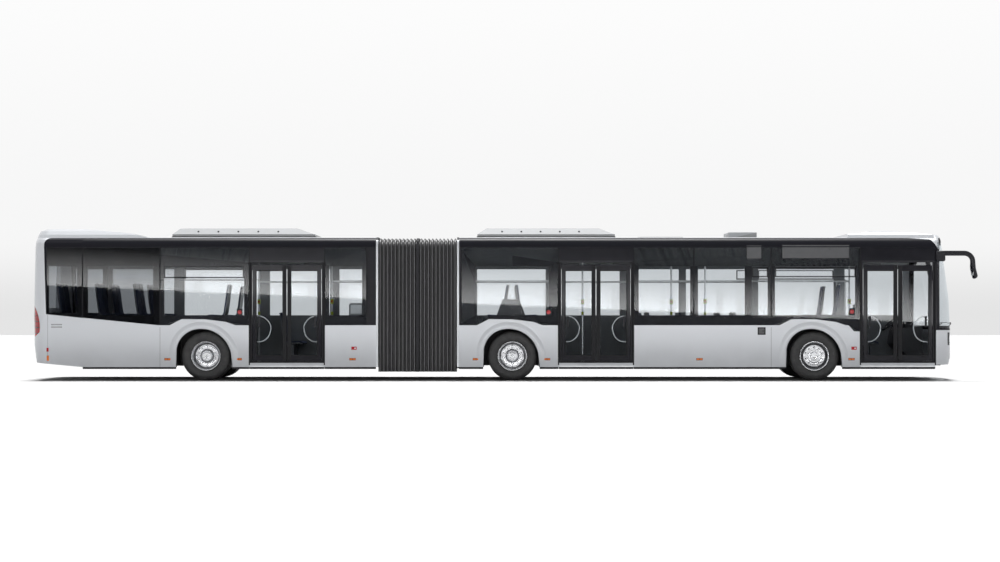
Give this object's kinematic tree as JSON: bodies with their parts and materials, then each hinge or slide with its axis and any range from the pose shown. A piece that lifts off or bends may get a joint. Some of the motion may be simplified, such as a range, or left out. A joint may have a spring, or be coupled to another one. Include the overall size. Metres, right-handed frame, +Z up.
{
  "type": "articulated bus",
  "caption": "Low-floor articulated city bus with a pleated bellows over its turntable, bonded dark glazing, inward-swinging double doors and steered front wheels.",
  "frame": {"origin": "on the ground, at the middle of the overall box", "axes": "+X towards the front of the bus, +Y to its left side, +Z up"},
  "size_m": [18.4998, 2.69, 2.992],
  "materials": {
    "body_paint": "silver metallic clear coat",
    "roof_paint": "silver paint, dark eaves",
    "unit_paint": "pale grey moulded covers",
    "dark_glass": "tinted bonded glass with black print",
    "lamp_glass": "clear lens",
    "tail_lamp": "red lens",
    "black_trim": "black moulded",
    "seat_shell": "moulded shell with a thin fixed pad",
    "rail_steel": "satin tube",
    "cab_trim": "grained dark",
    "axle_iron": "black primer",
    "engine_iron": "bare casting",
    "frame_paint": "silver frame",
    "bellows_rubber": "pleated coated fabric",
    "floor_lining": "grey safety floor",
    "tyre": "black rubber",
    "wheel_alloy": "polished forged",
    "door_frame": "black frame with tinted glass"
  },
  "bodies": {
    "front_car": {"front_floor": "floor_lining", "front_wall_right": "body_paint", "front_wall_left": "body_paint", "front_roof": "roof_paint", "front_end": "body_paint", "front_bumper": "body_paint", "windscreen": "dark_glass", "headlamps": "lamp_glass", "mirrors": "black_trim", "front_windows": "dark_glass", "front_roof_unit": "unit_paint", "front_seats": "seat_shell", "front_rails": "rail_steel", "driver_place": "cab_trim", "front_axle": "axle_iron", "middle_axle": "axle_iron", "joint_front": "frame_paint", "bellows": "bellows_rubber"},
    "rear_car": {"rear_floor": "floor_lining", "rear_wall_right": "body_paint", "rear_wall_left": "body_paint", "rear_roof": "roof_paint", "rear_end": "body_paint", "rear_windows": "dark_glass", "tail_lamps": "tail_lamp", "rear_roof_unit": "unit_paint", "rear_seats": "seat_shell", "rear_rails": "rail_steel", "rear_axle": "axle_iron", "engine": "engine_iron", "joint_rear": "frame_paint"},
    "joint_hoop": {"joint_hoop": "black_trim"},
    "knuckle_left": {"knuckle_left": "axle_iron"},
    "wheel_front_left": {"wheel_front_left": "wheel_alloy", "tyre_front_left": "tyre"},
    "wheel_middle_left": {"wheel_middle_left": "wheel_alloy", "tyre_middle_left": "tyre"},
    "wheel_rear_left": {"wheel_rear_left": "wheel_alloy", "tyre_rear_left": "tyre"},
    "knuckle_right": {"knuckle_right": "axle_iron"},
    "wheel_front_right": {"wheel_front_right": "wheel_alloy", "tyre_front_right": "tyre"},
    "wheel_middle_right": {"wheel_middle_right": "wheel_alloy", "tyre_middle_right": "tyre"},
    "wheel_rear_right": {"wheel_rear_right": "wheel_alloy", "tyre_rear_right": "tyre"},
    "door_column_front_a": {"door_column_front_a": "black_trim"},
    "door_leaf_front_a": {"door_leaf_front_a": "door_frame"},
    "door_column_front_b": {"door_column_front_b": "black_trim"},
    "door_leaf_front_b": {"door_leaf_front_b": "door_frame"},
    "door_column_middle_a": {"door_column_middle_a": "black_trim"},
    "door_leaf_middle_a": {"door_leaf_middle_a": "door_frame"},
    "door_column_middle_b": {"door_column_middle_b": "black_trim"},
    "door_leaf_middle_b": {"door_leaf_middle_b": "door_frame"},
    "door_column_rear_a": {"door_column_rear_a": "black_trim"},
    "door_leaf_rear_a": {"door_leaf_rear_a": "door_frame"},
    "door_column_rear_b": {"door_column_rear_b": "black_trim"},
    "door_leaf_rear_b": {"door_leaf_rear_b": "door_frame"}
  },
  "joints": [
    {"name": "articulation", "type": "hinge", "parent": "front_car", "child": "rear_car", "pos_m": [-1.681, 0, 0.285], "axis": [0, 0, 1], "range_deg": [-48, 48], "deforming": ["bellows"]},
    {"name": "hoop_turn", "type": "hinge", "parent": "front_car", "child": "joint_hoop", "pos_m": [-1.681, 0, 0.285], "axis": [0, 0, 1], "range_deg": [-24, 24], "deforming": ["bellows"]},
    {"name": "steer_left", "type": "hinge", "parent": "front_car", "child": "knuckle_left", "pos_m": [6.07, 0.88, 0.479], "axis": [0, 0, 1], "range_deg": [-45, 45]},
    {"name": "spin_front_left", "type": "hinge", "parent": "knuckle_left", "child": "wheel_front_left", "pos_m": [6.07, 1.066, 0.479], "axis": [0, 1, 0], "continuous": true},
    {"name": "spin_middle_left", "type": "hinge", "parent": "front_car", "child": "wheel_middle_left", "pos_m": [0.17, 1.066, 0.479], "axis": [0, 1, 0], "continuous": true},
    {"name": "spin_rear_left", "type": "hinge", "parent": "rear_car", "child": "wheel_rear_left", "pos_m": [-5.82, 1.066, 0.479], "axis": [0, 1, 0], "continuous": true},
    {"name": "steer_right", "type": "hinge", "parent": "front_car", "child": "knuckle_right", "pos_m": [6.07, -0.88, 0.479], "axis": [0, 0, 1], "range_deg": [-45, 45]},
    {"name": "spin_front_right", "type": "hinge", "parent": "knuckle_right", "child": "wheel_front_right", "pos_m": [6.07, -1.066, 0.479], "axis": [0, 1, 0], "continuous": true},
    {"name": "spin_middle_right", "type": "hinge", "parent": "front_car", "child": "wheel_middle_right", "pos_m": [0.17, -1.066, 0.479], "axis": [0, 1, 0], "continuous": true},
    {"name": "spin_rear_right", "type": "hinge", "parent": "rear_car", "child": "wheel_rear_right", "pos_m": [-5.82, -1.066, 0.479], "axis": [0, 1, 0], "continuous": true},
    {"name": "door_front_a", "type": "hinge", "parent": "front_car", "child": "door_column_front_a", "pos_m": [6.986, -1.245, 1.3], "axis": [0, 0, 1], "range_deg": [0, 86]},
    {"name": "leaf_front_a", "type": "hinge", "parent": "door_column_front_a", "child": "door_leaf_front_a", "pos_m": [7.3435, -1.245, 1.3], "axis": [0, 0, 1], "range_deg": [-172, 0]},
    {"name": "door_front_b", "type": "hinge", "parent": "front_car", "child": "door_column_front_b", "pos_m": [8.382, -1.245, 1.3], "axis": [0, 0, -1], "range_deg": [0, 86]},
    {"name": "leaf_front_b", "type": "hinge", "parent": "door_column_front_b", "child": "door_leaf_front_b", "pos_m": [8.0245, -1.245, 1.3], "axis": [0, 0, -1], "range_deg": [-172, 0]},
    {"name": "door_middle_a", "type": "hinge", "parent": "front_car", "child": "door_column_middle_a", "pos_m": [1.101, -1.245, 1.3], "axis": [0, 0, 1], "range_deg": [0, 86]},
    {"name": "leaf_middle_a", "type": "hinge", "parent": "door_column_middle_a", "child": "door_leaf_middle_a", "pos_m": [1.4585, -1.245, 1.3], "axis": [0, 0, 1], "range_deg": [-172, 0]},
    {"name": "door_middle_b", "type": "hinge", "parent": "front_car", "child": "door_column_middle_b", "pos_m": [2.497, -1.245, 1.3], "axis": [0, 0, -1], "range_deg": [0, 86]},
    {"name": "leaf_middle_b", "type": "hinge", "parent": "door_column_middle_b", "child": "door_leaf_middle_b", "pos_m": [2.1395, -1.245, 1.3], "axis": [0, 0, -1], "range_deg": [-172, 0]},
    {"name": "door_rear_a", "type": "hinge", "parent": "rear_car", "child": "door_column_rear_a", "pos_m": [-4.926, -1.245, 1.3], "axis": [0, 0, 1], "range_deg": [0, 86]},
    {"name": "leaf_rear_a", "type": "hinge", "parent": "door_column_rear_a", "child": "door_leaf_rear_a", "pos_m": [-4.5685, -1.245, 1.3], "axis": [0, 0, 1], "range_deg": [-172, 0]},
    {"name": "door_rear_b", "type": "hinge", "parent": "rear_car", "child": "door_column_rear_b", "pos_m": [-3.53, -1.245, 1.3], "axis": [0, 0, -1], "range_deg": [0, 86]},
    {"name": "leaf_rear_b", "type": "hinge", "parent": "door_column_rear_b", "child": "door_leaf_rear_b", "pos_m": [-3.8875, -1.245, 1.3], "axis": [0, 0, -1], "range_deg": [-172, 0]}
  ],
  "couplings": [
    {"joint": "hoop_turn", "follows": "articulation", "ratio": 0.5},
    {"joint": "steer_right", "follows": "steer_left", "ratio": 1},
    {"joint": "leaf_front_a", "follows": "door_front_a", "ratio": -2},
    {"joint": "leaf_front_b", "follows": "door_front_b", "ratio": -2},
    {"joint": "leaf_middle_a", "follows": "door_middle_a", "ratio": -2},
    {"joint": "leaf_middle_b", "follows": "door_middle_b", "ratio": -2},
    {"joint": "leaf_rear_a", "follows": "door_rear_a", "ratio": -2},
    {"joint": "leaf_rear_b", "follows": "door_rear_b", "ratio": -2}
  ]
}
